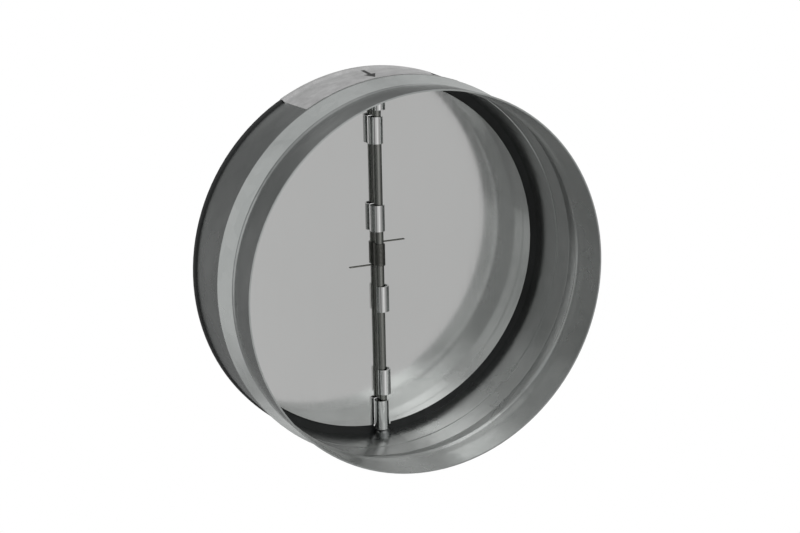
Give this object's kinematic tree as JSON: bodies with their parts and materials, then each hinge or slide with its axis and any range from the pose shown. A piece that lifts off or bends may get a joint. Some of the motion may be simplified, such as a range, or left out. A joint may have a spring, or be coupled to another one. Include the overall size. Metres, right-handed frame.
{
  "type": "butterfly damper",
  "caption": "Round spring-closed duct damper: a short galvanised collar with a rubber edge seal and half-round blades that fold about an upright spindle.",
  "frame": {"origin": "centre of the spigot's open end, on the duct's axis", "axes": "+Y along the duct's axis from the spigot to the sealed end, against the flow of air; +Z along the spindle, upwards as installed; +X to the right, seen from the spigot"},
  "size_m": [0.2084, 0.0723, 0.2086],
  "materials": {
    "galvanised_sheet": "bright zinc coat, faint spangle",
    "black_rubber": "matt",
    "spindle_steel": "bright drawn",
    "bush_steel": "bright turned",
    "aluminium_sheet": "smooth mill finish, nearly a mirror",
    "spring_steel": "dark drawn wire",
    "silver_label": "mottled silver grey, satin"
  },
  "bodies": {
    "casing": {"casing": "galvanised_sheet", "edge_seal": "black_rubber", "spindle": "spindle_steel", "upper_bush": "bush_steel", "lower_bush": "bush_steel", "torsion_spring": "spring_steel", "direction_label": "silver_label"},
    "right_blade": {"right_blade": "aluminium_sheet"},
    "left_blade": {"left_blade": "aluminium_sheet"}
  },
  "joints": [
    {"name": "right_blade_hinge", "type": "hinge", "parent": "casing", "child": "right_blade", "pos_m": [0, 0.06685, 0], "axis": [0, 0, -1], "range_deg": [0, 85], "stiffness_Nm_per_rad": 0.004, "springref_deg": -68.75, "deforming": ["torsion_spring"]},
    {"name": "left_blade_hinge", "type": "hinge", "parent": "casing", "child": "left_blade", "pos_m": [0, 0.06685, 0], "axis": [0, 0, 1], "range_deg": [0, 85], "stiffness_Nm_per_rad": 0.004, "springref_deg": -68.75, "deforming": ["torsion_spring"]}
  ]
}
